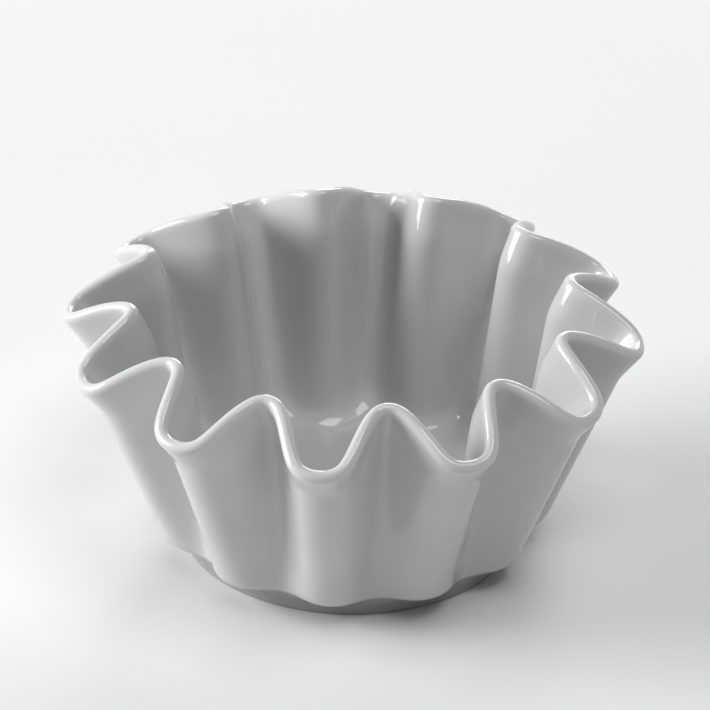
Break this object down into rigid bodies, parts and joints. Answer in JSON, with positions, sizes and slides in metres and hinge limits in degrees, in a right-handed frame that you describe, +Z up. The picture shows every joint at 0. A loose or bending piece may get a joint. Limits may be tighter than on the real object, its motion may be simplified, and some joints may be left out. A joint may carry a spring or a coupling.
{
  "type": "brioche mould",
  "caption": "Deep round baking mould with broad rounded flutes, a wavy flared rounded lip and a wall that tapers to a low round foot.",
  "frame": {"origin": "centre of the circle that the foot stands on, at the bottom of the part", "axes": "+Z up along the mould's axis, out of its mouth; a lobe of the wall lies on each of +X, -X, +Y and -Y"},
  "size_m": [0.2296, 0.2296, 0.1063],
  "materials": {
    "glaze": "smooth glossy light grey glaze"
  },
  "bodies": {
    "root": {"mould": "glaze"}
  },
  "joints": []
}
